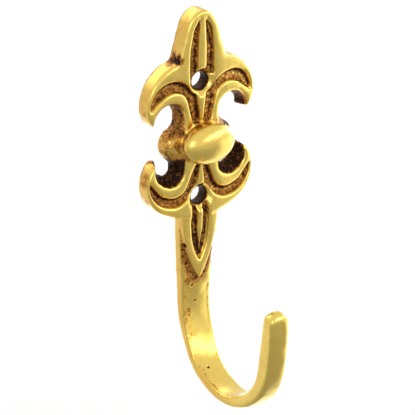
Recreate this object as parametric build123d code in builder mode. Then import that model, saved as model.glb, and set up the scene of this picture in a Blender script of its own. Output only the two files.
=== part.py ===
# Curtain tieback hook: one solid brass casting, a fleur-de-lis wall plate that runs down into a J hook.
# Millimetres. The back face lies on the wall plane Y = 0 and the front looks along -Y.
# The origin is on the back face, halfway between the two screw holes; +Z is up.
import os

from build123d import *

# Wall plate
plate_thickness = 5.0
plate_edge_round = 0.8
petal_draft_angle = 15.0
curl_draft_angle = 26.0

# Spire of the fleur-de-lis
spire_top_z = 34.0
notch_half_width = 7.1
notch_z = 21.2
notch_round = 1.2

# Upper petals
petal_half_width = 16.1
petal_widest_z = 10.5
petal_tip_x = 14.1
petal_tip_z = 5.7
petal_opening_x = 9.2
petal_opening_z = 11.2
petal_band_width = 2.9

# Waist between the upper petals and the lower curls
waist_half_width = 4.85
collar_half_width = 10.4
collar_z = -0.7
collar_round = 2.6

# Lower curls
curl_half_width = 15.9
curl_widest_z = -9.8
curl_tip_x = 13.3
curl_tip_z = -4.2
curl_opening_x = 8.7
curl_opening_z = -11.3
curl_band_width = 3.0
curl_foot_z = -20.8

# Sunk relief
relief_depth = 1.4
rib_half_width = 1.4
spire_groove_half_width = 3.45
spire_groove_top_z = 31.9

# Screw holes
screw_hole_radius = 2.25
screw_head_radius = 3.9
screw_spacing = 30.6

# Boss in front of the waist
boss_half_width = 7.6
boss_half_depth = 3.5
boss_half_height = 5.3
boss_centre_depth = 7.8
boss_neck_ratio = 0.79

# Stem below the plate, with its raised leaf
stem_top_half_width = 5.15
bar_half_width = 4.05
bar_thickness = 3.4
stem_end_z = -42.0
leaf_height = 1.2
leaf_tip_z = -37.2
leaf_groove_half_width = 2.4
leaf_groove_end_z = -32.6

# J hook
hook_bottom_z = -65.2
hook_projection = 39.1
hook_tip_z = -35.7
hook_tip_half_width = 2.45
hook_tip_thickness = 4.1
bar_edge_bevel = 0.7

hole_z = screw_spacing / 2

# Plate: straight outer walls, rounded along the front
with BuildPart() as plate:
    with BuildSketch(Plane.XZ) as plate_outline:
        with BuildLine():
            shoulder = (0.32 * notch_half_width, spire_top_z - 0.098 * (spire_top_z - notch_z))
            crown = TangentArc((0, spire_top_z), shoulder, tangent=(1, 0))
            TangentArc(shoulder, (notch_half_width, notch_z), tangent=crown % 1)
            TangentArc((petal_half_width, petal_widest_z), (notch_half_width, notch_z), tangent=(0, 1))
            TangentArc((petal_half_width, petal_widest_z), (petal_tip_x, petal_tip_z), tangent=(0, -1))
            # Open side between the two tips
            Polyline(
                (petal_tip_x, petal_tip_z),
                (petal_tip_x - 2.5, petal_tip_z - 0.3),
                (1.8 * waist_half_width, collar_z),
                (curl_tip_x - 2.0, curl_tip_z - 0.1),
                (curl_tip_x, curl_tip_z),
            )
            curl_corner = (0.73 * curl_half_width, curl_foot_z + 0.28 * (curl_widest_z - curl_foot_z))
            curl_foot = TangentArc((0, curl_foot_z), curl_corner, tangent=(1, 0))
            curl_flank = TangentArc(curl_corner, (curl_half_width, curl_widest_z), tangent=curl_foot % 1)
            TangentArc((curl_half_width, curl_widest_z), (curl_tip_x, curl_tip_z), tangent=curl_flank % 1)
            mirror(about=Plane.YZ)
        make_face()
        notches = plate_outline.vertices().filter_by(lambda v: abs(v.Y - notch_z) < 0.01)
        fillet(notches, radius=notch_round)
    extrude(amount=plate_thickness)
    rim = plate.faces().sort_by(Axis.Y)[0].edges().filter_by(GeomType.CIRCLE)
    fillet(rim, radius=plate_edge_round)

# Openings under the petals, narrowing toward the wall
with BuildPart() as petal_openings:
    with BuildSketch(Plane.XZ.offset(plate_thickness)):
        with BuildLine():
            petal_side = (waist_half_width, petal_opening_z - 4.6)
            petal_mouth = (petal_tip_x + 0.1, petal_tip_z + 1.1)
            TangentArc((petal_opening_x, petal_opening_z), petal_mouth, tangent=(1, 0))
            TangentArc((petal_opening_x, petal_opening_z), petal_side, tangent=(-1, 0))
            Polyline(
                petal_side,
                (waist_half_width, collar_z - 3.0),
                (1.3 * petal_half_width, collar_z - 3.0),
                (1.3 * petal_half_width, petal_tip_z - 0.8),
                (petal_tip_x, petal_tip_z - 0.8),
                petal_mouth,
            )
        make_face()
        mirror(about=Plane.YZ)
    extrude(amount=-1.2 * plate_thickness, taper=petal_draft_angle)

# Openings over the curls, drawn flat and narrowing upward, then laid in the plate
with BuildPart() as curl_openings:
    with BuildSketch(Plane.XY):
        with BuildLine():
            curl_side = (waist_half_width, curl_opening_z + 4.0)
            curl_mouth = (curl_tip_x + 0.5, curl_tip_z - 2.0)
            TangentArc((curl_opening_x, curl_opening_z), curl_mouth, tangent=(1, 0))
            TangentArc((curl_opening_x, curl_opening_z), curl_side, tangent=(-1, 0))
            Polyline(
                curl_side,
                (waist_half_width, collar_z + 3.0),
                (1.3 * curl_half_width, collar_z + 3.0),
                (1.3 * curl_half_width, curl_tip_z + 0.9),
                (curl_tip_x + 0.5, curl_tip_z + 0.9),
                curl_mouth,
            )
        make_face()
        mirror(about=Plane.YZ)
    extrude(amount=1.2 * plate_thickness, taper=curl_draft_angle)
from_front = Plane(origin=(0, -plate_thickness, 0), x_dir=(-1, 0, 0), z_dir=(0, 1, 0))

# Channels that leave the bands, the ribs and the curls standing
with BuildPart() as channels:
    with BuildSketch(Plane.XZ.offset(plate_thickness)):
        # Either side of the spire's middle rib
        with BuildLine():
            spire_groove_top = (0.7 * rib_half_width, spire_groove_top_z)
            spire_groove_bend = (spire_groove_half_width, spire_groove_top_z - 9.9)
            Line((spire_groove_half_width, hole_z + 1.5), spire_groove_bend)
            TangentArc(spire_groove_bend, spire_groove_top, tangent=(0, 1))
            Polyline(
                spire_groove_top,
                (rib_half_width, spire_groove_top_z - 8.0),
                (rib_half_width, hole_z + 1.5),
                (spire_groove_half_width, hole_z + 1.5),
            )
        make_face()
        # Crescent round the upper petal, then down beside the wedge under the hole
        with BuildLine():
            petal_groove_tip = (petal_half_width - 1.1, petal_widest_z - 0.4)
            petal_groove_top = (petal_opening_x - 0.2, petal_opening_z + petal_band_width + 2.6)
            petal_band_top = (petal_opening_x - 0.9, petal_opening_z + petal_band_width)
            TangentArc(petal_groove_top, petal_groove_tip, tangent=(1, 0))
            TangentArc(petal_groove_top, (2.6, hole_z - 3.0), tangent=(-1, 0))
            band_shoulder = (petal_band_top[0] + 3.1, petal_band_top[1] - 1.05)
            band_arc = TangentArc(petal_band_top, band_shoulder, tangent=(1, 0))
            TangentArc(band_shoulder, petal_groove_tip, tangent=band_arc % 1)
            TangentArc(petal_band_top, (0.8 * waist_half_width, petal_opening_z - 0.8), tangent=(-1, 0))
            Polyline(
                (0.8 * waist_half_width, petal_opening_z - 0.8),
                (0.53 * waist_half_width, petal_tip_z - 0.9),
                (0.3 * rib_half_width, petal_tip_z - 0.9),
                (rib_half_width, hole_z - 3.2),
                (2.6, hole_z - 3.0),
            )
        make_face()
        # Crescent round the lower curl, then up beside the wedge over the hole
        with BuildLine():
            curl_groove_tip = (curl_half_width - 0.8, curl_widest_z + 0.7)
            curl_groove_foot = (curl_opening_x - 0.7, curl_opening_z - curl_band_width - 2.2)
            curl_band_foot = (curl_opening_x - 0.7, curl_opening_z - curl_band_width)
            TangentArc(curl_groove_foot, curl_groove_tip, tangent=(1, 0))
            TangentArc(curl_groove_foot, (2.3, 2.9 - hole_z), tangent=(-1, 0))
            curl_shoulder = (curl_band_foot[0] + 3.9, curl_band_foot[1] + 1.45)
            curl_arc = TangentArc(curl_band_foot, curl_shoulder, tangent=(1, 0))
            TangentArc(curl_shoulder, curl_groove_tip, tangent=curl_arc % 1)
            TangentArc(curl_band_foot, (0.8 * waist_half_width, curl_opening_z - 0.2), tangent=(-1, 0))
            Polyline(
                (0.8 * waist_half_width, curl_opening_z - 0.2),
                (0.36 * waist_half_width, curl_tip_z - 2.2),
                (0.3 * rib_half_width, curl_tip_z - 2.2),
                (rib_half_width, 3.2 - hole_z),
                (2.3, 2.9 - hole_z),
            )
        make_face()
        # Either side of the rib that runs from the lower hole down the leaf
        with BuildLine():
            leaf_groove_bend = (leaf_groove_half_width, leaf_groove_end_z + 10.6)
            Line((leaf_groove_half_width, -hole_z - 1.5), leaf_groove_bend)
            TangentArc(leaf_groove_bend, (0, leaf_groove_end_z), tangent=(0, -1))
            Polyline(
                (0, leaf_groove_end_z),
                (0, leaf_groove_end_z + 2.6),
                (0.57 * rib_half_width, leaf_groove_end_z + 9.0),
                (0.57 * rib_half_width, -hole_z - 1.5),
                (leaf_groove_half_width, -hole_z - 1.5),
            )
        make_face()
        mirror(about=Plane.YZ)
    extrude(amount=-relief_depth)

# Rounded band across the waist, flaring into the plate on both sides
with BuildPart() as collar:
    with BuildSketch(Plane.XZ):
        with BuildLine():
            collar_end = (collar_half_width, collar_z)
            upper_turn = (0.8 * collar_half_width, collar_z + 3.45)
            lower_turn = (0.83 * collar_half_width, collar_z - 3.7)
            upper_flare = (waist_half_width + 0.55, collar_z + 7.3)
            lower_flare = (waist_half_width + 1.05, collar_z - 7.3)
            upper_arc = TangentArc(collar_end, upper_turn, tangent=(0, 1))
            TangentArc(upper_turn, upper_flare, tangent=upper_arc % 1)
            lower_arc = TangentArc(collar_end, lower_turn, tangent=(0, -1))
            TangentArc(lower_turn, lower_flare, tangent=lower_arc % 1)
            Line(upper_flare, (0, upper_flare[1]))
            Line(lower_flare, (0, lower_flare[1]))
            mirror(about=Plane.YZ)
        make_face()
    extrude(amount=plate_thickness - 0.1)
    collar_rim = collar.faces().sort_by(Axis.Y)[0].edges().filter_by(GeomType.CIRCLE)
    fillet(collar_rim, radius=collar_round)

# Egg-shaped boss: half a ball stretched along each axis, tapering behind into the plate
root_depth = plate_thickness / 2
root_ratio = 1 - (1 - boss_neck_ratio) * (boss_centre_depth - root_depth) / (boss_centre_depth - plate_thickness)
with BuildPart() as boss:
    Sphere(radius=1, rotation=(90, 0, 0))
    scale(by=(boss_half_width, boss_half_depth, boss_half_height))
    split(bisect_by=Plane.XZ)
    with BuildSketch(Plane.XZ):
        Ellipse(boss_half_width, boss_half_height)
    with BuildSketch(Plane.XZ.offset(root_depth - boss_centre_depth)):
        Ellipse(root_ratio * boss_half_width, root_ratio * boss_half_height)
    loft(ruled=True)

# Pointed leaf raised on the stem
with BuildPart() as leaf:
    with BuildSketch(Plane.XZ.offset(bar_thickness / 2)):
        with BuildLine():
            leaf_shoulder = (0.97 * stem_top_half_width, curl_foot_z - 0.9)
            leaf_root_z = curl_foot_z + 1.5
            Polyline((0, leaf_root_z), (0.97 * stem_top_half_width, leaf_root_z), leaf_shoulder)
            TangentArc(leaf_shoulder, (0, leaf_tip_z), tangent=(-0.1, -1))
            mirror(about=Plane.YZ)
        make_face()
    extrude(amount=bar_thickness / 2 + leaf_height)

# Stem: tapers from the plate to the width of the hook
narrowing = bar_half_width - hook_tip_half_width
front_half_width = bar_half_width - narrowing * bar_thickness / hook_projection
with BuildPart() as stem:
    with BuildSketch(Plane.XY.offset(curl_foot_z + 1.1)) as stem_top:
        Polygon(
            (-stem_top_half_width, 0),
            (stem_top_half_width, 0),
            (stem_top_half_width, -bar_thickness),
            (-stem_top_half_width, -bar_thickness),
            align=None,
        )
    with BuildSketch(Plane.XY.offset(stem_end_z)) as stem_foot:
        Polygon(
            (-bar_half_width, 0),
            (bar_half_width, 0),
            (front_half_width, -bar_thickness),
            (-front_half_width, -bar_thickness),
            align=None,
        )
    loft(ruled=True)
    uprights = stem.edges().filter_by(lambda e: abs(e.tangent_at(0.5).Z) > 0.9)
    chamfer(uprights, length=bar_edge_bevel)

# J hook: its side view, narrowed evenly from the wall to the tip
drop = stem_end_z - hook_bottom_z
outer_turn = (-0.107 * hook_projection, stem_end_z - 0.64 * drop)
outer_rise = (-0.875 * hook_projection, stem_end_z - 0.733 * drop)
outer_arm = (-0.972 * hook_projection, stem_end_z - 0.388 * drop)
tip_base_z = hook_tip_z - hook_tip_thickness / 2
inner_reach = hook_projection - hook_tip_thickness - bar_thickness
inner_turn = (-bar_thickness - 0.111 * inner_reach, stem_end_z - 0.578 * drop)
inner_rise = (-bar_thickness - 0.861 * inner_reach, stem_end_z - 0.647 * drop)
inner_arm = (-bar_thickness - 0.934 * inner_reach, stem_end_z - 0.41 * drop)
with BuildSketch(Plane.YZ) as side_view:
    with BuildLine():
        lap_z = stem_end_z + 1
        Polyline((-bar_thickness, stem_end_z), (-bar_thickness, lap_z), (0, lap_z), (0, stem_end_z))
        outer_1 = TangentArc((0, stem_end_z), outer_turn, tangent=(0, -1))
        outer_2 = TangentArc(outer_turn, outer_rise, tangent=outer_1 % 1)
        outer_3 = TangentArc(outer_rise, outer_arm, tangent=outer_2 % 1)
        TangentArc(outer_arm, (-hook_projection, tip_base_z), tangent=outer_3 % 1)
        ThreePointArc(
            (-hook_projection, tip_base_z),
            (-hook_projection + hook_tip_thickness / 2, hook_tip_z),
            (-hook_projection + hook_tip_thickness, tip_base_z),
        )
        inner_1 = TangentArc((-bar_thickness, stem_end_z), inner_turn, tangent=(0, -1))
        inner_2 = TangentArc(inner_turn, inner_rise, tangent=inner_1 % 1)
        inner_3 = TangentArc(inner_rise, inner_arm, tangent=inner_2 % 1)
        TangentArc(inner_arm, (-hook_projection + hook_tip_thickness, tip_base_z), tangent=inner_3 % 1)
    make_face()

# Bevel of the hook's edges: its side view inset on the side face, then spreading at 45 degrees
side_face = Plane(
    origin=(bar_half_width, 0, 0),
    x_dir=(narrowing, hook_projection, 0),
    z_dir=(hook_projection, -narrowing, 0),
)
spread = bar_half_width + 0.3
with BuildPart() as bevelled_side:
    with BuildSketch(Plane.XY):
        offset(side_view.sketch_local, amount=spread - bar_edge_bevel, kind=Kind.INTERSECTION)
    extrude(amount=spread, taper=45)

with BuildPart() as hook:
    extrude(side_view.sketch, amount=2 * bar_half_width)
    with BuildSketch(Plane.XY.offset(hook_bottom_z - 2)):
        Polygon(
            (0, 0),
            (bar_half_width, 0),
            (hook_tip_half_width, -hook_projection),
            (0, -hook_projection),
            align=None,
        )
    extrude(amount=hook_tip_z - hook_bottom_z + 4, mode=Mode.INTERSECT)
    add(bevelled_side.part.moved(side_face.offset(-spread).location), mode=Mode.INTERSECT)
    mirror(about=Plane.YZ)

with BuildPart() as tieback_hook:
    add(plate.part)
    add(petal_openings.part, mode=Mode.SUBTRACT)
    add(curl_openings.part.moved(from_front.location), mode=Mode.SUBTRACT)
    add(collar.part)
    add(stem.part)
    add(leaf.part)
    add(channels.part, mode=Mode.SUBTRACT)
    add(hook.part)
    add(boss.part.moved(Location((0, -boss_centre_depth, 0))))
    with Locations(Plane.XZ.offset(plate_thickness)):
        with Locations((0, hole_z), (0, -hole_z)):
            CounterSinkHole(radius=screw_hole_radius, counter_sink_radius=screw_head_radius, counter_sink_angle=90)
tieback_hook.part.label = "tieback_hook"

os.makedirs("parts", exist_ok=True)
export_step(tieback_hook.part, "parts/tieback_hook.step")
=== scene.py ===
"""Looks of a cast brass curtain tieback hook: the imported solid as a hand-polished, patinated casting."""

import math

import bmesh
import bpy
import numpy as np
from mathutils import Matrix, Vector


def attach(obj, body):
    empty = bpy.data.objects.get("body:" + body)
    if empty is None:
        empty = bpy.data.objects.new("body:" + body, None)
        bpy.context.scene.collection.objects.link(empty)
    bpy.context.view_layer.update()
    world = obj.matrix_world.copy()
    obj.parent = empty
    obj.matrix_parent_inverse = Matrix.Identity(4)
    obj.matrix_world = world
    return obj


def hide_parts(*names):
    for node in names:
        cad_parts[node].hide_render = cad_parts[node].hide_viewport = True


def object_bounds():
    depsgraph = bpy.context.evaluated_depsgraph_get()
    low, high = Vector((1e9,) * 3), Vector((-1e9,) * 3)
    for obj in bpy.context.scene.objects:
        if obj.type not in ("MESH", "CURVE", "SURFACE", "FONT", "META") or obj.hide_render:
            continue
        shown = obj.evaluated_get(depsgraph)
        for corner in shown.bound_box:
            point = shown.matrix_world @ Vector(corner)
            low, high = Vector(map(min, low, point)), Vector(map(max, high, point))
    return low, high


bl_info = {
    "name": "Curtain Tieback Hook",
    "version": (1, 0, 0),
    "blender": (4, 5, 0),
    "location": "3D Viewport > Sidebar > Tieback",
    "description": "Dresses the packed curtain tieback hook as an antique brass casting",
    "category": "Object",
}

MM = 0.001
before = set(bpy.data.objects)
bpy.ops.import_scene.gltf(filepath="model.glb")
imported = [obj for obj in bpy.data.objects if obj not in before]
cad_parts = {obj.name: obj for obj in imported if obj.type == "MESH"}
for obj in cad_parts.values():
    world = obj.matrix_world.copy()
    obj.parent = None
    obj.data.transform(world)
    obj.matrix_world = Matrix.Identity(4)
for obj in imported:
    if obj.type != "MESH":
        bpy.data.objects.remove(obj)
CAD_LOW, CAD_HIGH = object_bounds()


# Sizes and colours


class CastingSizes(bpy.types.PropertyGroup):
    """Sizes of the cast surface."""

    cell: bpy.props.FloatProperty(
        name="Cell", description="Edge length of the surface cells", default=0.27 * MM, unit="LENGTH"
    )
    soften_passes: bpy.props.IntProperty(
        name="Softening",
        description="Passes that round the edges and take the steps out of the cells",
        default=24,
        min=0,
    )
    edge_wear: bpy.props.FloatProperty(
        name="Edge wear",
        description="Share of the standing edges that hand polishing takes away",
        default=0.4,
        min=0.0,
        max=1.0,
    )
    growth: bpy.props.FloatProperty(
        name="Growth",
        description="Width added to each side of the hook before its edges are rounded",
        default=0.35 * MM,
        unit="LENGTH",
    )
    crown: bpy.props.FloatProperty(
        name="Crown",
        description="How far the hook's flat faces fall away towards their edges",
        default=0.25 * MM,
        unit="LENGTH",
    )
    channel_slope: bpy.props.FloatProperty(
        name="Channel slope",
        description="Width of the worn slope along the channels",
        default=0.45 * MM,
        unit="LENGTH",
    )
    wave_height: bpy.props.FloatProperty(
        name="Wave height",
        description="Height of the long waves left by hand polishing",
        default=0.1 * MM,
        unit="LENGTH",
    )
    wave_length: bpy.props.FloatProperty(
        name="Wave length", description="Length of the polishing waves", default=5.5 * MM, unit="LENGTH"
    )
    grain_height: bpy.props.FloatProperty(
        name="Grain height",
        description="Height of the sandy grain in the recesses",
        default=0.15 * MM,
        unit="LENGTH",
    )
    grain_length: bpy.props.FloatProperty(
        name="Grain length", description="Size of the sandy grains", default=0.54 * MM, unit="LENGTH"
    )


class FinishColours(bpy.types.PropertyGroup):
    """Colours of the antique brass."""

    polished: bpy.props.FloatVectorProperty(
        name="Polished brass",
        description="Colour of the polished high parts",
        subtype="COLOR",
        size=3,
        default=(0.86, 0.62, 0.13),
    )
    warm: bpy.props.FloatVectorProperty(
        name="Warm brass",
        description="Colour of the less polished flanks",
        subtype="COLOR",
        size=3,
        default=(0.76, 0.46, 0.085),
    )
    brown: bpy.props.FloatVectorProperty(
        name="Brown patina",
        description="Colour of the thin patina",
        subtype="COLOR",
        size=3,
        default=(0.42, 0.175, 0.034),
    )
    dark: bpy.props.FloatVectorProperty(
        name="Dark patina",
        description="Colour of the thick patina in the deepest recesses",
        subtype="COLOR",
        size=3,
        default=(0.03, 0.011, 0.005),
    )
    polish_roughness: bpy.props.FloatProperty(
        name="Polish roughness", description="Roughness of the polished metal", default=0.24, min=0.0, max=1.0
    )


class StageSettings(bpy.types.PropertyGroup):
    """The floor and the lights."""

    floor_drop: bpy.props.FloatProperty(
        name="Floor drop", description="Distance of the floor below the hook", default=45 * MM, unit="LENGTH"
    )
    world_strength: bpy.props.FloatProperty(
        name="Room light", description="Strength of the even light of the room", default=0.52, min=0.0
    )
    key_power: bpy.props.FloatProperty(
        name="Key lamp",
        description="Power of the wide soft lamp at the right front",
        default=3.8,
        min=0.0,
        unit="POWER",
    )
    right_power: bpy.props.FloatProperty(
        name="Right lamp",
        description="Power of the low soft lamp at the right",
        default=3.2,
        min=0.0,
        unit="POWER",
    )
    left_power: bpy.props.FloatProperty(
        name="Left lamp",
        description="Power of the small soft lamp at the left front",
        default=1.2,
        min=0.0,
        unit="POWER",
    )
    back_power: bpy.props.FloatProperty(
        name="Back lamp",
        description="Power of the wide soft lamp above and behind",
        default=3.0,
        min=0.0,
        unit="POWER",
    )


# Tools for meshes


def put_mesh(name, points, quads):
    """Makes an object from an array of points and an array of four-cornered faces."""
    mesh = bpy.data.meshes.new(name)
    mesh.from_pydata(points.tolist(), [], quads.tolist())
    mesh.update()
    piece = bpy.data.objects.new(name, mesh)
    bpy.context.scene.collection.objects.link(piece)
    return piece


def points_of(mesh):
    """The places of a mesh's vertices as one array."""
    flat = np.empty(len(mesh.vertices) * 3, np.float32)
    mesh.vertices.foreach_get("co", flat)
    return flat.reshape(-1, 3).astype(float)


def normals_of(mesh):
    """The normals of a mesh's vertices as one array."""
    flat = np.empty(len(mesh.vertices) * 3, np.float32)
    mesh.vertex_normals.foreach_get("vector", flat)
    return flat.reshape(-1, 3).astype(float)


def set_points(mesh, points):
    """Moves a mesh's vertices to an array of places."""
    mesh.vertices.foreach_set("co", points.astype(np.float32).ravel())
    mesh.update()


def edges_of(mesh):
    """The two vertex numbers of each edge, as one array."""
    flat = np.empty(len(mesh.edges) * 2, np.int32)
    mesh.edges.foreach_get("vertices", flat)
    return flat.reshape(-1, 2)


def keep_value(mesh, name, values):
    """Stores one number per vertex as a named attribute."""
    attribute = mesh.attributes.new(name, "FLOAT", "POINT")
    attribute.data.foreach_set("value", values.astype(np.float32))


def neighbour_mean(values, edges, degree):
    """The mean of each vertex's neighbours: the sum over its edges divided by their number."""
    total = np.empty_like(values)
    for k in range(values.shape[1]):
        total[:, k] = np.bincount(edges[:, 0], values[edges[:, 1], k], len(values))
        total[:, k] += np.bincount(edges[:, 1], values[edges[:, 0], k], len(values))
    return total / degree[:, None]


def soften(points, edges, passes, give=0.5, take=-0.52):
    """Rounds edges and keeps the form.

    Each pass moves a vertex toward its neighbours' mean by the share give, then back by the share take.
    """
    degree = np.bincount(edges.ravel(), minlength=len(points)).astype(float)
    for _ in range(passes):
        for share in (give, take):
            points = points + share * (neighbour_mean(points, edges, degree) - points)
    return points


def relax(values, edges, passes):
    """Spreads one value per vertex over its neighbours, half way in each pass."""
    degree = np.bincount(edges.ravel(), minlength=len(values)).astype(float)
    column = values[:, None].astype(float)
    for _ in range(passes):
        column = 0.5 * column + 0.5 * neighbour_mean(column, edges, degree)
    return column[:, 0]


def cloud(points, length, seed):
    """Smooth random field from -1 to 1.

    Random values lie on a cubic lattice of the given length, and between its corners they are blended with a
    cubic ease.
    """
    rng = np.random.default_rng(seed)
    lattice = rng.uniform(-1, 1, (64, 64, 64))
    p = points / length + rng.uniform(0, 64, 3)
    base = np.floor(p).astype(int)
    t = p - base
    t = t * t * (3 - 2 * t)
    total = np.zeros(len(points))
    for dx in (0, 1):
        for dy in (0, 1):
            for dz in (0, 1):
                corner = lattice[(base[:, 0] + dx) % 64, (base[:, 1] + dy) % 64, (base[:, 2] + dz) % 64]
                share = np.where(dx, t[:, 0], 1 - t[:, 0]) * np.where(dy, t[:, 1], 1 - t[:, 1])
                total += corner * share * np.where(dz, t[:, 2], 1 - t[:, 2])
    return total


def ease(low, high, values):
    """Zero below low, one above high, with a smooth rise between; with low above high it falls instead."""
    t = np.clip((values - low) / (high - low), 0, 1)
    return t * t * (3 - 2 * t)


def ball_gap(piece, radius):
    """How freely a ball of that radius rests on each vertex: one where it touches nothing else, down to zero.

    The ball's centre is the vertex plus the radius along its normal; the gap is the centre's distance to the
    surface divided by the radius.
    """
    tree = bpy.data.node_groups.new("ball_gap", "GeometryNodeTree")
    tree.interface.new_socket("Geometry", in_out="INPUT", socket_type="NodeSocketGeometry")
    tree.interface.new_socket("Geometry", in_out="OUTPUT", socket_type="NodeSocketGeometry")
    entry = tree.nodes.new("NodeGroupInput")
    leave = tree.nodes.new("NodeGroupOutput")
    place = tree.nodes.new("GeometryNodeInputPosition")
    normal = tree.nodes.new("GeometryNodeInputNormal")
    centre = tree.nodes.new("ShaderNodeVectorMath")
    centre.operation = "MULTIPLY_ADD"
    centre.inputs[1].default_value = (radius, radius, radius)
    near = tree.nodes.new("GeometryNodeProximity")
    near.target_element = "FACES"
    keep = tree.nodes.new("GeometryNodeStoreNamedAttribute")
    keep.data_type = "FLOAT"
    keep.domain = "POINT"
    keep.inputs["Name"].default_value = "gap"
    link = tree.links.new
    link(normal.outputs[0], centre.inputs[0])
    link(place.outputs[0], centre.inputs[2])
    link(entry.outputs[0], near.inputs[0])
    link(centre.outputs[0], near.inputs["Sample Position"])
    link(entry.outputs[0], keep.inputs["Geometry"])
    link(near.outputs["Distance"], keep.inputs["Value"])
    link(keep.outputs[0], leave.inputs[0])
    modifier = piece.modifiers.new("gap", "NODES")
    modifier.node_group = tree
    shown = piece.evaluated_get(bpy.context.evaluated_depsgraph_get())
    mesh = shown.to_mesh()
    gap = np.empty(len(mesh.vertices), np.float32)
    mesh.attributes["gap"].data.foreach_get("value", gap)
    shown.to_mesh_clear()
    piece.modifiers.remove(modifier)
    bpy.data.node_groups.remove(tree)
    return gap.astype(float) / radius


def even_cells(piece, cell):
    """Gives the piece a new mesh of even cells with that edge length."""
    cells = piece.modifiers.new("cells", "REMESH")
    cells.mode = "VOXEL"
    cells.voxel_size = cell
    shown = piece.evaluated_get(bpy.context.evaluated_depsgraph_get())
    mesh = bpy.data.meshes.new_from_object(shown)
    piece.modifiers.clear()
    old = piece.data
    piece.data = mesh
    bpy.data.meshes.remove(old)


def arc(start, end, tangent, count=12):
    """Points of the circle arc that leaves start along the tangent and reaches end, without its last point.

    At the share s of the arc the chord from start is turned from the tangent by s times the angle between the
    tangent and the whole chord, and its length is the whole chord times the sine of that turn over the sine
    of the whole angle.
    """
    chord = np.subtract(end, start).astype(float)
    ahead = np.array(tangent, float) / np.hypot(*tangent)
    bend = math.atan2(ahead[0] * chord[1] - ahead[1] * chord[0], ahead @ chord)
    turn = np.linspace(0, 1, count, endpoint=False) * bend
    reach = np.hypot(*chord) * np.sin(turn) / math.sin(bend)
    across = ahead[0] * np.cos(turn) - ahead[1] * np.sin(turn)
    upward = ahead[1] * np.cos(turn) + ahead[0] * np.sin(turn)
    return np.add(start, np.stack((reach * across, reach * upward), axis=1))


def outline(*runs):
    """Joins points and arcs, in order, to one closed outline."""
    return np.concatenate([np.atleast_2d(run) for run in runs])


def plan_of(points):
    """Places across and up, with the left half laid on the right one."""
    return np.stack((np.abs(points[:, 0]), points[:, 2]), axis=1)


def inside_depth(places, sides):
    """How deep places in the plate's plan lie inside an outline, in millimetres, and below zero outside it.

    The depth is the distance to the nearest side; a place is inside where an odd number of sides crosses its
    level on its right.
    """
    nearest = np.full(len(places), np.inf)
    crossed = np.zeros(len(places), bool)
    for (ax, az), (bx, bz) in zip(sides, np.roll(sides, -1, axis=0)):
        run = np.array((bx - ax, bz - az))
        step = places - (ax, az)
        share = np.clip(step @ run / max(run @ run, 1e-12), 0, 1)
        nearest = np.minimum(nearest, np.hypot(step[:, 0] - share * run[0], step[:, 1] - share * run[1]))
        if az != bz:
            level = (places[:, 1] >= min(az, bz)) & (places[:, 1] < max(az, bz))
            crossed ^= level & (places[:, 0] < ax + (places[:, 1] - az) * run[0] / run[1])
    return np.where(crossed, nearest, -nearest)


# Tools for shaders


class Shade:
    """One socket of a shader tree. Arithmetic on it adds Math nodes to the tree."""

    def __init__(self, tree, socket=None):
        self.tree = tree
        self.socket = socket

    def node(self, kind, settings=None, inputs=None, output=0):
        """Adds a node from its type, settings, values or links of its inputs, and the wanted output."""
        made = self.tree.nodes.new(kind)
        for name, value in (settings or {}).items():
            setattr(made, name, value)
        for key, value in (inputs or {}).items():
            if isinstance(value, Shade):
                self.tree.links.new(value.socket, made.inputs[key])
            else:
                made.inputs[key].default_value = value
        return Shade(self.tree, made.outputs[output])

    def math(self, operation, first, second):
        """Adds a Math node on two values."""
        return self.node("ShaderNodeMath", {"operation": operation}, {0: first, 1: second})

    def __add__(self, other):
        return self.math("ADD", self, other)

    __radd__ = __add__

    def __mul__(self, other):
        return self.math("MULTIPLY", self, other)

    __rmul__ = __mul__

    def __sub__(self, other):
        return self.math("SUBTRACT", self, other)

    def __rsub__(self, other):
        return self.math("SUBTRACT", other, self)

    def between(self, low, high):
        """Zero below low, one above high, with a smooth rise between."""
        return self.node(
            "ShaderNodeMapRange",
            {"interpolation_type": "SMOOTHSTEP"},
            {"Value": self, "From Min": low, "From Max": high, "To Min": 0.0, "To Max": 1.0},
        )

    def blend(self, first, second):
        """Mixes two colours, with this value as the share of the second."""
        return self.node(
            "ShaderNodeMix",
            {"data_type": "RGBA", "blend_type": "MIX"},
            {0: self, 6: first, 7: second},
            output=2,
        )


def new_material(name):
    """An empty node material, its Shade for building, and its output node."""
    material = bpy.data.materials.new(name)
    material.use_nodes = True
    tree = material.node_tree
    tree.nodes.clear()
    output = tree.nodes.new("ShaderNodeOutputMaterial")
    return material, Shade(tree), output


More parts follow.
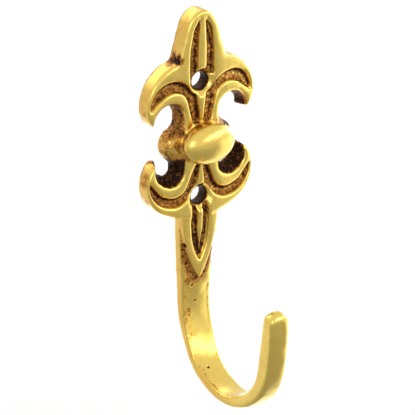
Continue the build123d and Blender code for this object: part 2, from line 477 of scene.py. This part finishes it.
def antique_brass(colours):
    """Polished brass on the high parts and brown to black patina in the recesses.

    The patina's thickness, with the painted shade it carries in places, the rubbed edges and the flanks come
    from the piece's attributes. A film of tarnish in smudges lies over all of it, and a thin clear coat over
    the metal that the patina leaves bare.
    """
    material, shade, output = new_material("antique_brass")
    place = shade.node("ShaderNodeTexCoord", output="Object")
    patina_and_shade = shade.node("ShaderNodeAttribute", {"attribute_name": "patina_and_shade"}, output="Fac")
    rubbed = shade.node("ShaderNodeAttribute", {"attribute_name": "rubbed"}, output="Fac")
    flank = shade.node("ShaderNodeAttribute", {"attribute_name": "flank"}, output="Fac")

    def noise(scale, detail, roughness=0.55):
        inputs = {"Vector": place, "Scale": scale, "Detail": detail, "Roughness": roughness}
        return shade.node("ShaderNodeTexNoise", None, inputs)

    clouds = noise(190.0, 3.0)
    smudge = noise(520.0, 4.0, 0.62)
    speckle = noise(1500.0, 3.0, 0.6)
    dust = noise(3600.0, 2.0)

    # Thickness of all that covers the metal, ragged where the patina ends and thinner where edges are rubbed
    edge = (speckle - 0.5) * 1.5 + (dust - 0.5) * 1.3
    covered = patina_and_shade.between(0.04, 0.4)
    film = smudge.between(0.46, 0.68) * (0.2 + flank * 0.04)
    layer = patina_and_shade + film + edge * (covered * 0.56 + 0.07) - rubbed * 0.2

    tint = flank * 0.75 + (clouds - 0.5) * 1.3 + (speckle - 0.5) * 0.3 + patina_and_shade * 1.5 - rubbed * 0.35
    warm = tint.between(0.0, 1.0)
    polished = warm.blend((*colours.polished, 1.0), (*colours.warm, 1.0))
    toned = layer.between(0.1, 0.54).blend(polished, (*colours.brown, 1.0))
    colour = layer.between(0.5, 0.98).blend(toned, (*colours.dark, 1.0))

    thin = layer.between(0.12, 0.6)
    roughness = colours.polish_roughness + (clouds - 0.5) * 0.14 + (smudge - 0.5) * 0.2
    roughness = roughness + thin * 0.22 + flank * 0.08
    metallic = 1.0 - layer.between(0.6, 1.0) * 0.3
    height = (dust - 0.5) * (0.1 + covered * 0.9) + (speckle - 0.5) * (0.25 + covered * 1.3)
    bump = shade.node("ShaderNodeBump", None, {"Strength": 0.5, "Distance": 0.08 * MM, "Height": height})
    brass = shade.node(
        "ShaderNodeBsdfPrincipled",
        None,
        {
            "Base Color": colour,
            "Roughness": roughness,
            "Metallic": metallic,
            "Normal": bump,
            "Specular IOR Level": 0.2,
            "Coat Weight": 0.35 * (1.0 - layer.between(0.1, 0.5)),
            "Coat Roughness": 0.12,
        },
    )
    shade.tree.links.new(brass.socket, output.inputs["Surface"])
    return material


# The casting. All its places and lengths are in millimetres, and places in the plan are across and up

# Outlines in the plate's plan, right half
SPIRE_CHANNEL = outline(
    (3.45, 16.8), arc((3.45, 22.0), (0.98, 31.9), (0, 1)), (0.98, 31.9), (1.4, 23.9), (1.4, 16.8)
)
PETAL_CHANNEL = outline(
    arc((9.0, 16.7), (15.0, 10.1), (1, 0)),
    (15.0, 10.1),
    arc((11.4, 13.05), (8.3, 14.1), (-0.84, 0.54)),
    arc((8.3, 14.1), (3.88, 10.4), (-1, 0)),
    (3.88, 10.4),
    (2.57, 4.8),
    (0.42, 4.8),
    (1.4, 12.1),
    arc((9.0, 16.7), (2.6, 12.3), (-1, 0))[::-1],
)
CURL_CHANNEL = outline(
    arc((8.0, -16.5), (15.1, -9.1), (1, 0)),
    (15.1, -9.1),
    arc((11.9, -12.85), (8.0, -14.3), (-0.84, -0.54)),
    arc((8.0, -14.3), (3.88, -11.5), (-1, 0)),
    (3.88, -11.5),
    (1.75, -6.4),
    (0.42, -6.4),
    (1.4, -12.1),
    arc((8.0, -16.5), (2.3, -12.4), (-1, 0))[::-1],
)
LEAF_CHANNEL = outline(
    (2.4, -16.8),
    arc((2.4, -22.0), (0.0, -32.6), (0, -1)),
    (0.0, -32.6),
    (0.0, -30.0),
    (0.8, -23.6),
    (0.8, -16.8),
)
CHANNELS = (SPIRE_CHANNEL, PETAL_CHANNEL, CURL_CHANNEL, LEAF_CHANNEL)
PETAL_OPENING = outline(
    arc((9.2, 11.2), (14.2, 6.8), (1, 0)),
    (14.2, 6.8),
    (14.1, 4.9),
    (20.9, 4.9),
    (20.9, -3.7),
    (4.85, -3.7),
    (4.85, 6.6),
    arc((9.2, 11.2), (4.85, 6.6), (-1, 0))[::-1],
)
CURL_OPENING = outline(
    arc((8.7, -11.3), (13.8, -6.2), (1, 0)),
    (13.8, -6.2),
    (13.8, -3.3),
    (20.7, -3.3),
    (20.7, 2.3),
    (4.85, 2.3),
    (4.85, -7.3),
    arc((8.7, -11.3), (4.85, -7.3), (-1, 0))[::-1],
)
LEAF = outline((0.0, -19.3), (5.0, -19.3), arc((5.0, -21.7), (0.0, -37.2), (-0.1, -1)), (0.0, -37.2))

# The plate's front plane, the channels' depth and the distance of the screw holes from the middle
PLATE_FRONT = 5.0
CHANNEL_FLOOR = 1.4
HOLE_Z = 15.3

# What lies further forward than this belongs to the hook's tip, where it is high enough
TIP_FRONT = -30.0

# Cell of the first even mesh, on which the forms are changed
SHAPING_CELL = 0.3

# Passes of the wide mean that a ridge is measured against
RIDGE_PASSES = 26

# Radii of the balls that find the tight recesses and the wider ones
TIGHT_BALL = 0.8
MIDDLE_BALL = 2.2

# Pits of the casting: place, radius and depth
PITS = (
    (-1.68, -3.4, -39.38, 0.42, 0.34),
    (-0.74, -3.46, -43.72, 0.36, 0.28),
    (-2.64, -3.91, -47.22, 0.34, 0.26),
    (-1.17, -10.27, -59.42, 0.4, 0.3),
    (-3.16, -21.7, -63.73, 0.3, 0.24),
    (-3.1, -23.11, -63.33, 0.28, 0.22),
    (-3.9, -3.61, -27.68, 0.7, 0.5),
    (-6.91, -2.53, 21.98, 0.6, 0.3),
)

# Stains of the patina, and painted shade at the notch between spire and left petal, at the top and bottom
# of the collar's left end and on the waist's right shoulder: place, radius and thickness
STAINS_AND_SHADE = (
    # Painted shadow in the notch between the spire and the left petal
    (-7.0, -2.0, 21.9, 1.9, 0.8),
    (-6.9, -3.8, 22.1, 1.5, 0.85),
    (-8.3, -2.8, 21.3, 1.7, 0.4),
    # Painted shade at the top and bottom of the collar's left end
    (-9.6, -1.2, 2.6, 1.5, 0.45),
    (-9.9, -3.0, -4.2, 1.3, 0.6),
    # Stains along the stem and beside the leaf
    (-2.9, -3.6, -37.9, 1.1, 0.5),
    (-3.95, -3.55, -27.8, 1.0, 0.97),
    (-2.7, -3.9, -46.0, 0.9, 0.5),
    (4.6, -2.2, -27.0, 0.9, 0.6),
    (4.7, -3.0, -31.0, 0.8, 0.65),
    (4.5, -3.0, -34.2, 0.8, 0.6),
    # Patina and painted shade on the waist's right shoulder, beside the right petal opening
    (8.0, -2.6, 2.9, 2.1, 0.95),
    # Thin brown on the left outer walls
    (-15.2, -2.4, -8.5, 2.6, 0.26),
    (-14.2, -2.2, -14.0, 1.6, 0.3),
    (-15.6, -2.0, 10.0, 1.8, 0.22),
)


def channel_depth(plan):
    """How deep places in the plan lie inside the nearest channel."""
    return np.max([inside_depth(plan, sides) for sides in CHANNELS], axis=0)


def solid_in_mm(name):
    """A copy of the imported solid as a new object, in millimetres and with its doubled corners merged."""
    merged = bmesh.new()
    merged.from_mesh(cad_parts["tieback_hook"].data)
    bmesh.ops.remove_doubles(merged, verts=merged.verts, dist=1e-7)
    mesh = bpy.data.meshes.new(name)
    merged.to_mesh(mesh)
    merged.free()
    mesh.transform(Matrix.Scale(1 / MM, 4))
    piece = bpy.data.objects.new(name, mesh)
    bpy.context.scene.collection.objects.link(piece)
    return piece


def grown(points, growth):
    """Steps that make up for what the rounding takes: hook and crown of the plate widen, the tip rises.

    A step to the side is a multiple of the growth times the hyperbolic tangent of x over a short length, so
    it rises quickly from the middle and is even beyond it.
    """
    x, y, z = points.T
    outward = np.tanh(x / 1.2)
    step = np.zeros_like(points)
    step[:, 0] = growth * outward * ease(-19.0, -22.0, z)
    step[:, 0] += 2.4 * growth * outward * ease(25.0, 31.5, z) * ease(0.5, 3.5, np.abs(x) + 0.4)
    step[:, 2] = 2.6 * growth * ease(-40.0, -36.5, z) * ease(-32.0, -34.0, y)
    return step


def fingertip(points, top, radius=2.75, middle=-37.05, thinning=0.45):
    """Rounds the hook's tip like a fingertip.

    Within the radius of its top, the width shrinks by the root of 1 minus the square of the height's share,
    and the thickness about its middle plane by the thinning's share of that.
    """
    x, y, z = points.T
    share = np.clip((z - top + radius) / radius, 0, 0.985) * (y < TIP_FRONT)
    shrink = np.sqrt(1 - share**2)
    return np.stack((x * shrink, middle + (y - middle) * (1 - thinning * (1 - shrink)), z), axis=1)


def crowned(points, normals, crown):
    """Steps that make the worn faces slightly convex.

    The hook's faces go back along their normals by the crown times the square of x over 3, and the plate's
    front goes back by a share of its height that grows with the square of x over 16.
    """
    x, y, z = points.T
    bar = np.maximum(ease(-38.5, -41.0, z), ease(-25.0, -28.0, y)) * ease(0.5, 0.2, np.abs(normals[:, 0]))
    bar = bar * np.where(y > -1.5, ease(0.5, 0.0, normals[:, 1]), 1.0)
    step = -normals * (crown * bar * np.clip(x / 3.0, -1.3, 1.3) ** 2)[:, None]
    step[:, 1] -= 0.12 * y * np.clip(x / 16.0, -1, 1) ** 2 * ease(-21.0, -17.0, z)
    return step


def shape_solid(piece, sizes):
    """Changes what wear changed: the widths, the tip, slopes along the channels and the crown of the faces.

    The plate's front beside a channel goes back by the channel's depth times an ease over the worn slope.
    """
    even_cells(piece, SHAPING_CELL)
    points = points_of(piece.data)
    points = points + grown(points, sizes.growth / MM)
    points = fingertip(points, points[points[:, 1] < TIP_FRONT, 2].max())
    channel = channel_depth(plan_of(points))
    cut = CHANNEL_FLOOR * ease(-sizes.channel_slope / MM, 0.3, channel)
    on_plate = (points[:, 1] > -PLATE_FRONT - 0.1) & (points[:, 1] < -2.8)
    lowered = np.maximum(points[:, 1], -PLATE_FRONT + cut)
    points[:, 1] = np.where(on_plate & (channel > -1.0), lowered, points[:, 1])
    points = points + crowned(points, normals_of(piece.data), sizes.crown / MM)
    set_points(piece.data, points)
    even_cells(piece, sizes.cell / MM)


def wear_down(mesh, edges, sizes):
    """Softens the mesh and lets the polishing take its ridges down, less on the back and at the plate's top.

    A ridge is how far a vertex stands out, along its normal, from the mean of its wide surroundings. Returns
    the new places, the ridges, and how far each vertex belongs to the back.
    """
    points = soften(points_of(mesh), edges, sizes.soften_passes)
    set_points(mesh, points)
    normals = normals_of(mesh)
    mean = soften(points, edges, RIDGE_PASSES, 0.5, 0.0)
    ridge = relax(np.einsum("ij,ij->i", points - mean, normals), edges, 2)
    on_back = ease(-1.4, -0.3, points[:, 1])
    spared = 0.8 * ease(30.0, 33.0, points[:, 2])
    worn = sizes.edge_wear * np.clip(ridge, 0, None) * (1 - on_back) * (1 - spared)
    points = soften(points - normals * worn[:, None], edges, 3)
    set_points(mesh, points)
    return points, ridge, on_back


class Skin:
    """The casting as its finish sees it, with one entry per vertex.

    The depth is the distance in front of the wall. Facing and rising are how far the normal points to the
    front and up. Tight and middle are how badly a small and a larger ball rest there, from 0 to 1.
    """

    def __init__(self, points, normals, tight, middle):
        self.points = points
        self.across = points[:, 0]
        self.up = points[:, 2]
        self.plan = plan_of(points)
        self.depth = -points[:, 1]
        self.facing = -normals[:, 1]
        self.rising = normals[:, 2]
        self.tight = tight
        self.middle = middle
        self.in_plate = ease(5.3, 4.9, self.depth) * ease(0.85, 0.55, -self.facing)


# Each coat gives the patina's thickness, with painted shade added on the channels' downward walls, and the
# sandiness of the cast skin, from 0 to 1 for each vertex


def channel_coat(skin):
    """The channels hold brown sand, with patina darker at their walls, lighter in the right petal and left
    spire; walls facing down are darkest, a painted shade.
    """
    channel = channel_depth(skin.plan)
    floor = ease(-0.15, 0.25, channel) * ease(4.95, 4.5, skin.depth) * ease(3.0, 3.4, skin.depth)
    wall = ease(1.1, 0.15, channel) * floor
    # Walls facing down get more: painted shade under the channels' upper rims
    patina_and_shade = 0.42 * floor + (0.28 + 0.58 * ease(0.3, -0.35, skin.rising)) * wall
    patina_and_shade -= 0.08 * floor * np.tanh(skin.across / 5.0) * ease(2.0, 6.0, skin.up) * ease(20.0, 17.0, skin.up)
    patina_and_shade -= 0.1 * floor * ease(18.0, 21.0, skin.up) * ease(0.5, -0.5, skin.across)
    return patina_and_shade, 0.9 * floor


def opening_coat(skin):
    """The petal openings' walls are brown, darker at the top and outside; the curl openings' nearly black."""
    petal = ease(0.05, 0.5, inside_depth(skin.plan, PETAL_OPENING)) * ease(0.4, 2.6, skin.up) * skin.in_plate
    curl = ease(0.05, 0.5, inside_depth(skin.plan, CURL_OPENING)) * ease(-2.6, -5.0, skin.up) * skin.in_plate
    darker = np.maximum(ease(8.0, 10.8, skin.up), ease(11.5, 13.0, skin.plan[:, 0]))
    return np.maximum(petal * (0.66 + 0.22 * darker), curl * 0.97), np.maximum(0.5 * petal, curl)


def bore_coat(skin):
    """The screw holes are dark inside."""
    off_hole = np.hypot(skin.across, np.abs(skin.up) - HOLE_Z)
    bore = ease(2.75, 2.3, off_hole) * ease(4.7, 4.2, skin.depth)
    return bore, np.zeros_like(bore)


def leaf_coat(skin):
    """The stem is brown and sandy round the leaf, with a thin brown line along the leaf itself."""
    leaf = inside_depth(skin.plan, LEAF)
    below = ease(-20.5, -22.0, skin.up)
    beside = ease(-3.2, -1.3, leaf) * ease(0.35, 0.0, leaf) * ease(-40.5, -37.0, skin.up) * below
    beside = beside * ease(0.35, 0.7, skin.facing) * ease(4.3, 3.7, skin.depth)
    line = ease(-0.9, -0.35, leaf) * ease(0.3, 0.05, leaf) * ease(-38.0, -36.0, skin.up) * below
    thin = 0.4 * line * ease(4.4, 3.9, skin.depth) * ease(0.0, 0.3, skin.facing)
    return np.maximum(0.58 * beside, thin), 0.8 * beside


def collar_coat(skin):
    """The walls beside the collar have a thin brown coat."""
    collar = ease(4.6, 5.4, skin.plan[:, 0]) * ease(5.4, 3.6, np.abs(skin.up + 0.7)) * skin.in_plate
    return 0.3 * collar, 0.3 * collar


def crease_coat(skin):
    """Patina stays in the creases, thickest in the tight ones."""
    patina_and_shade = np.maximum(0.75 * ease(0.15, 0.75, skin.tight), 0.3 * ease(0.3, 0.8, skin.middle))
    return patina_and_shade, np.zeros_like(patina_and_shade)


def back_coat(skin):
    """The back was never polished, and a brown line runs along the back edge of the walls."""
    back = ease(0.75, 0.95, -skin.facing) * ease(4.5, 0.3, skin.depth)
    line = 0.8 * ease(0.85, 0.1, skin.depth) * ease(-0.7, -0.2, -skin.facing) * ease(0.75, 0.35, -skin.facing)
    return np.maximum(0.23 * back, line), 0.32 * back


COATS = (channel_coat, opening_coat, bore_coat, leaf_coat, collar_coat, crease_coat, back_coat)


def all_coats(skin):
    """The patina and the sandiness of each vertex: the most that any coat gives it."""
    patina_and_shade, sand = np.array([coat(skin) for coat in COATS]).max(axis=0)
    return patina_and_shade, sand


def polishing_wave(points, sizes):
    """Long swells of hand polishing: three clouds, each shorter and weaker than the one before."""
    wave = cloud(points, sizes.wave_length / MM, 3) + 0.4 * cloud(points, 0.45 * sizes.wave_length / MM, 5)
    return wave + 0.17 * cloud(points, 0.2 * sizes.wave_length / MM, 13)


def sandy_grain(points, sizes):
    """Grain of the sand mould: two clouds, the second about half as long."""
    return cloud(points, sizes.grain_length / MM, 7) + 0.6 * cloud(points, 0.55 * sizes.grain_length / MM, 11)


def rubbed_grain(patina_and_shade, sand, grain):
    """The polishing catches the tops of the grains, and patina stays between them."""
    return patina_and_shade - 0.26 * sand * ease(0.1, 0.9, grain) + 0.24 * sand * ease(0.1, -0.8, grain)


def specked(patina_and_shade, skin):
    """Dark specks in the thickest brown of the stem."""
    specks = cloud(skin.points, 0.5, 19)
    on_stem = ease(-22.0, -24.0, skin.up)
    return patina_and_shade + 0.4 * ease(0.15, 0.65, specks) * ease(0.5, 0.62, patina_and_shade) * on_stem * skin.facing


def traced(patina_and_shade, skin, mottle):
    """Brown traces along the left edge of the stem's front and of the bend's inside."""
    inner = ease(0.2, 0.5, np.maximum(skin.facing, skin.rising))
    inner = inner * ease(-38.5, -41.0, skin.up) * ease(27.0, 22.0, skin.depth)
    along = ease(2.1, 3.0, -skin.across) * inner
    traces = 0.36 - 0.2 * ease(-50.0, -58.0, skin.up)
    return patina_and_shade + along * (traces * ease(-0.15, 0.6, mottle) + 0.14 * ease(-55.0, -60.0, skin.up))


def stained_and_shaded(patina_and_shade, points, mottle):
    """Stains and painted shade, each full in its middle and ending in a mottled edge about one radius away.
    """
    for x, y, z, radius, thickness in STAINS_AND_SHADE:
        away = np.linalg.norm(points - (x, y, z), axis=1) / radius + 0.3 * mottle
        patina_and_shade = np.maximum(patina_and_shade, thickness * ease(1.2, 0.5, away))
    return patina_and_shade


def pitted(patina_and_shade, lift, points):
    """Pits, filled with patina: each sinks by its depth times 1 minus the square of the radius's share."""
    for x, y, z, radius, deep in PITS:
        away = np.linalg.norm(points - (x, y, z), axis=1) / radius
        lift = lift - deep * np.clip(1 - away**2, 0, 1)
        patina_and_shade = np.maximum(patina_and_shade, ease(1.25, 0.5, away))
    return patina_and_shade, lift


def flank_of(points, normals, on_back):
    """How far each vertex belongs to the side walls, whose normals point neither to the front nor back, less
    on the parts far in front of the wall, or to the back.
    """
    flank = ease(0.75, 0.35, np.abs(normals[:, 1])) * (1 - 0.8 * ease(-16.0, -28.0, points[:, 1]))
    flank *= np.maximum(ease(-24.0, -20.0, points[:, 2]), ease(0.4, 0.8, np.abs(normals[:, 0])))
    return np.maximum(flank, 0.6 * on_back)


class TIEBACK_OT_casting(bpy.types.Operator):
    """Make the casting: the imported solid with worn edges, polishing waves, sandy recesses and pits"""

    bl_idname = "tieback.casting"
    bl_label = "Make casting"

    def execute(self, context):
        sizes = context.scene.tieback_casting
        piece = solid_in_mm("casting")
        shape_solid(piece, sizes)
        mesh = piece.data
        mesh.name = "casting"
        edges = edges_of(mesh)
        points, ridge, on_back = wear_down(mesh, edges, sizes)
        normals = normals_of(mesh)

        tight = relax(1 - np.clip(ball_gap(piece, TIGHT_BALL), 0, 1), edges, 2)
        middle = relax(1 - np.clip(ball_gap(piece, MIDDLE_BALL), 0, 1), edges, 3)
        skin = Skin(points, normals, tight, middle)
        patina_and_shade, sand = all_coats(skin)

        # The lift is how far the fine relief moves the surface along its normal
        grain = sandy_grain(points, sizes)
        lift = polishing_wave(points, sizes) * sizes.wave_height / MM * (1 - 0.5 * sand)
        lift += grain * sizes.grain_height / MM * sand
        mottle = cloud(points, 0.8, 17)
        patina_and_shade = specked(rubbed_grain(patina_and_shade, sand, grain), skin)
        patina_and_shade = stained_and_shaded(traced(patina_and_shade, skin, mottle), points, mottle)
        patina_and_shade, lift = pitted(patina_and_shade, lift, points)

        # The back stays nearly flat, and nothing passes the solid's box
        flat_back = ease(-0.02, -0.3, points[:, 1]) * 0.85 + 0.15
        points = points + normals * (lift * flat_back)[:, None]
        points = np.clip(points, np.array(CAD_LOW) / MM, np.array(CAD_HIGH) / MM)
        set_points(mesh, points * MM)

        # The patina attribute also carries the painted shade of the channels' downward walls and of the
        # shaded stains
        keep_value(mesh, "patina_and_shade", np.clip(patina_and_shade, 0, 1))
        keep_value(mesh, "rubbed", ease(0.04, 0.22, ridge))
        keep_value(mesh, "flank", flank_of(points, normals, on_back))
        mesh.polygons.foreach_set("use_smooth", np.ones(len(mesh.polygons), bool))
        mesh.materials.clear()
        mesh.materials.append(antique_brass(context.scene.tieback_finish))
        if not len(mesh.polygons):
            raise RuntimeError("the casting has no faces")
        print("casting", len(mesh.vertices), "vertices", len(mesh.polygons), "faces")

        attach(piece, "root")
        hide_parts("tieback_hook")
        return {"FINISHED"}


# The stage, in metres

WHITE = (1.0, 1.0, 1.0, 1.0)
FLOOR_HALF_WIDTH = 3

# Places on the floor: the middle of the painted shade, where metal sees it greyest, and below the hook
PAINTED_SHADE_MIDDLE = (0.0, -0.06, -0.11)
BELOW_HOOK = (0.0, 0.0, -0.11)

# Glow of the floor that a share of one stands for; it is above all that the floor's shader asks for
FULL_GLOW = 1.1

# The point that the front lamps look at, and the one of the lamp behind
HOOK_MIDDLE = (0.0, -0.018, -0.016)
BEHIND_HOOK = (-0.1, 0.3, -0.1)

# Camera of the photograph: angles in degrees, sensor and lens in millimetres, distance and aim in metres. The
# aim is a point on the hook, moved to the right and down in the picture
AZIMUTH = -35.5
ELEVATION = 22.2
ROLL = 0.7
SENSOR_WIDTH = 36
LENS = 419.5
DISTANCE = 1.2
AIM_POINT = (0, -0.005, 0)
AIM_RIGHT = 0.001191
AIM_DOWN = 0.01675


def pale_floor():
    """Pale floor, white to the camera, with a painted brightness of its own for the metal that reflects it.

    Metal sees the floor in front greyer the nearer it lies to the hook, a painted shade in place of the
    hook's shadow in its reflections; the floor behind glows a little brighter and the floor at the right
    brightest, painted reflections of light. For the camera the glow grows a little with the distance from the
    hook.
    """
    material, shade, output = new_material("pale_floor")
    camera_ray = shade.node("ShaderNodeLightPath", output="Is Camera Ray")
    glossy_ray = shade.node("ShaderNodeLightPath", output="Is Glossy Ray")
    place = shade.node("ShaderNodeTexCoord", output="Object")
    across = shade.node("ShaderNodeSeparateXYZ", None, {0: place}, output=0)
    ahead = shade.node("ShaderNodeSeparateXYZ", None, {0: place}, output=1)

    def distance_to(point):
        inputs = {0: place, 1: point}
        return shade.node("ShaderNodeVectorMath", {"operation": "DISTANCE"}, inputs, output="Value")

    # Painted shade: metal sees the floor greyer near the hook, in place of the hook's shadow
    reach = distance_to(PAINTED_SHADE_MIDDLE)
    front = 1.0 - ahead.between(-0.04, 0.08)
    painted_shade_closeness = shade.node(
        "ShaderNodeMath", {"operation": "MULTIPLY_ADD", "use_clamp": True}, {0: reach, 1: -1.6, 2: 1.0}
    )
    # Painted highlight: the floor at the right glows for metal
    right = shade.math("DIVIDE", across + ahead * 0.5, distance_to(BELOW_HOOK)).between(0.2, 0.5)

    white = shade.node("ShaderNodeBsdfDiffuse", None, {"Color": (0.82, 0.82, 0.82, 1.0)})
    painted_shade_grey = shade.node("ShaderNodeBsdfDiffuse", None, {"Color": (0.46, 0.46, 0.46, 1.0)})
    sheet = shade.node("ShaderNodeMixShader", None, {0: glossy_ray * (painted_shade_closeness * front), 1: white, 2: painted_shade_grey})

    to_camera = camera_ray * (0.24 + reach.between(0.4, 2.2) * 0.3)
    # Painted reflections: glow that only metal sees, behind the hook and at its right
    painted_reflection_glow = glossy_ray * ((1.0 - front) * 0.24 + right * 0.85)
    full = shade.node("ShaderNodeEmission", None, {"Color": WHITE, "Strength": FULL_GLOW})
    glow = shade.node("ShaderNodeMixShader", None, {0: (to_camera + painted_reflection_glow) * (1 / FULL_GLOW), 2: full})
    both = shade.node("ShaderNodeAddShader", None, {0: sheet, 1: glow})
    shade.tree.links.new(both.socket, output.inputs["Surface"])
    return material


def soft_lamp(name, place, target, width, height, power):
    """A rectangular area lamp that looks at a point."""
    data = bpy.data.lights.new(name, "AREA")
    data.shape = "RECTANGLE"
    data.size = width
    data.size_y = height
    data.energy = power
    lamp = bpy.data.objects.new(name, data)
    lamp.location = place
    lamp.rotation_mode = "QUATERNION"
    lamp.rotation_quaternion = (Vector(target) - Vector(place)).to_track_quat("-Z", "Y")
    lamp.visible_camera = False
    bpy.context.scene.collection.objects.link(lamp)


def light_room(light):
    """The even light of the room, which is white to the camera and a little brighter to metal."""
    world = bpy.data.worlds.new("room")
    world.use_nodes = True
    world.node_tree.nodes.clear()
    shade = Shade(world.node_tree)
    camera_ray = shade.node("ShaderNodeLightPath", output="Is Camera Ray")
    glossy_ray = shade.node("ShaderNodeLightPath", output="Is Glossy Ray")
    strength = light + camera_ray * (1.0 - light) + glossy_ray * 0.4
    room = shade.node("ShaderNodeBackground", None, {"Color": WHITE, "Strength": strength})
    output = world.node_tree.nodes.new("ShaderNodeOutputWorld")
    world.node_tree.links.new(room.socket, output.inputs["Surface"])
    bpy.context.scene.world = world


def photo_camera():
    """The camera of the photograph.

    Its back vector has the azimuth round the hook and the elevation above it, and its level and upright
    vectors are turned by the roll.
    """
    azimuth, elevation, roll = math.radians(AZIMUTH), math.radians(ELEVATION), math.radians(ROLL)
    flat = math.cos(elevation)
    level = Vector((math.cos(azimuth), math.sin(azimuth), 0))
    back = Vector((math.sin(azimuth) * flat, -math.cos(azimuth) * flat, math.sin(elevation)))
    upright = back.cross(level)
    right = level * math.cos(roll) + upright * math.sin(roll)
    up = upright * math.cos(roll) - level * math.sin(roll)
    aim = Vector(AIM_POINT) + right * AIM_RIGHT - up * AIM_DOWN
    data = bpy.data.cameras.new("camera")
    data.sensor_width = SENSOR_WIDTH
    data.lens = LENS
    data.clip_start = 0.05
    data.clip_end = 20
    camera = bpy.data.objects.new("camera", data)
    turn = Matrix((right, up, back)).transposed().to_4x4()
    camera.matrix_world = Matrix.Translation(aim + back * DISTANCE) @ turn
    bpy.context.scene.collection.objects.link(camera)
    bpy.context.scene.camera = camera


class TIEBACK_OT_stage(bpy.types.Operator):
    """Make the floor, the lamps, the room light and the camera"""

    bl_idname = "tieback.stage"
    bl_label = "Make stage"

    def execute(self, context):
        settings = context.scene.tieback_stage
        floor_z = CAD_LOW[2] - settings.floor_drop
        sides = np.array([(-1, -1, 0), (1, -1, 0), (1, 1, 0), (-1, 1, 0)])
        corners = sides * FLOOR_HALF_WIDTH + np.array((0, 0, floor_z))
        floor = put_mesh("floor", corners, np.array([(0, 1, 2, 3)]))
        floor.data.materials.append(pale_floor())

        soft_lamp("key_lamp", (0.68, -0.8, 0.42), HOOK_MIDDLE, 1.5, 0.32, settings.key_power)
        soft_lamp("right_lamp", (0.85, 0.1, 0.14), HOOK_MIDDLE, 0.5, 0.45, settings.right_power)
        soft_lamp("left_lamp", (-0.7, -0.7, 0.32), HOOK_MIDDLE, 0.35, 0.35, settings.left_power)
        soft_lamp("back_lamp", (-0.1, 0.75, 0.6), BEHIND_HOOK, 1.3, 0.5, settings.back_power)
        light_room(settings.world_strength)
        photo_camera()
        context.scene.view_settings.view_transform = "Standard"
        return {"FINISHED"}


# The panel and the run


class TIEBACK_PT_panel(bpy.types.Panel):
    """Lists the operators and settings of the tieback hook"""

    bl_idname = "TIEBACK_PT_panel"
    bl_label = "Tieback hook"
    bl_space_type = "VIEW_3D"
    bl_region_type = "UI"
    bl_category = "Tieback"

    def draw(self, context):
        layout = self.layout
        scene = context.scene
        layout.operator("tieback.casting")
        layout.operator("tieback.stage")
        for group in (scene.tieback_casting, scene.tieback_finish, scene.tieback_stage):
            box = layout.box()
            for name in group.__annotations__:
                box.prop(group, name)


CLASSES = (
    CastingSizes,
    FinishColours,
    StageSettings,
    TIEBACK_OT_casting,
    TIEBACK_OT_stage,
    TIEBACK_PT_panel,
)


def register():
    for item in CLASSES:
        bpy.utils.register_class(item)
    bpy.types.Scene.tieback_casting = bpy.props.PointerProperty(type=CastingSizes)
    bpy.types.Scene.tieback_finish = bpy.props.PointerProperty(type=FinishColours)
    bpy.types.Scene.tieback_stage = bpy.props.PointerProperty(type=StageSettings)


def unregister():
    del bpy.types.Scene.tieback_stage
    del bpy.types.Scene.tieback_finish
    del bpy.types.Scene.tieback_casting
    for item in reversed(CLASSES):
        bpy.utils.unregister_class(item)


def main():
    """Registers the add-on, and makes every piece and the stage."""
    register()
    bpy.ops.tieback.casting()
    bpy.ops.tieback.stage()


if __name__ == "__main__":
    main()
